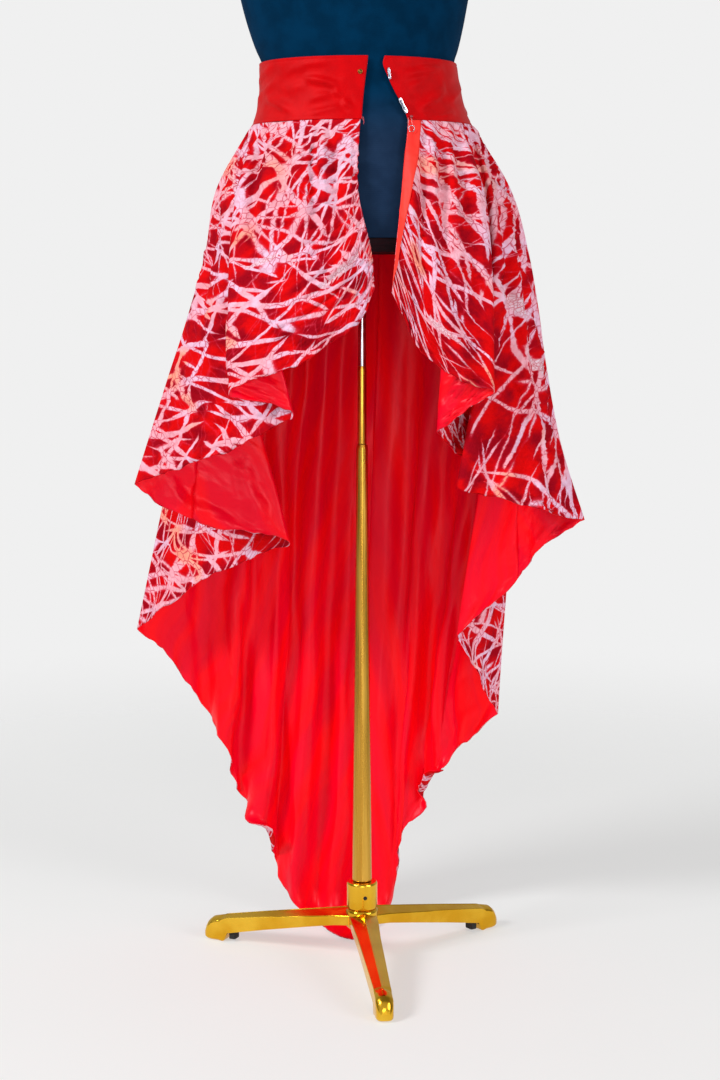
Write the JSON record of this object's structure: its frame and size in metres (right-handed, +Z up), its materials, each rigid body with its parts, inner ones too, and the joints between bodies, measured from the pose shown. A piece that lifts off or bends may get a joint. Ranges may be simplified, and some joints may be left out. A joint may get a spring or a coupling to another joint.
{
  "type": "high-low skirt on a limbless dress form with a three-legged stand",
  "caption": "Red printed high-low skirt, open at the front, short in front and trailing to the floor behind, lined in red, on a navy dress form with a brass stand",
  "frame": {"origin": "on the floor, in the middle of the floor plan that the skirt and the stand cover", "axes": "+Z up, +X to the right of a viewer who faces the skirt's open front, +Y away from that viewer, towards the train"},
  "size_m": [0.5492, 0.404, 1.51],
  "materials": {
    "printed_cotton": "red cotton with a branching pale batik print",
    "red_lining": "soft satin lining",
    "plain_red_cotton": "plain woven cotton",
    "coral_facing": "soft satin facing",
    "navy_cover": "close knitted jersey cover",
    "black_rim": "matte",
    "brass": "polished",
    "chrome": "polished",
    "black_rubber": "matte"
  },
  "bodies": {
    "root": {"shell_front_left": "printed_cotton", "shell_back_left": "printed_cotton", "shell_back_right": "printed_cotton", "shell_front_right": "printed_cotton", "lining_front_left": "red_lining", "lining_back_left": "red_lining", "lining_back_right": "red_lining", "lining_front_right": "red_lining", "facing_right_edge": "coral_facing", "waistband": "plain_red_cotton", "stud_left": "brass", "hook_upper": "chrome", "hook_lower": "chrome", "form_torso": "navy_cover", "form_rim": "black_rim", "form_neck_cap": "black_rim", "pole_lower": "brass", "pole_tube": "brass", "pole_rod": "chrome", "stand_hub": "brass", "stand_collar": "brass", "leg_front": "brass", "leg_right": "brass", "leg_left": "brass", "pad_front": "black_rubber", "pad_right": "black_rubber", "pad_left": "black_rubber"}
  },
  "joints": []
}
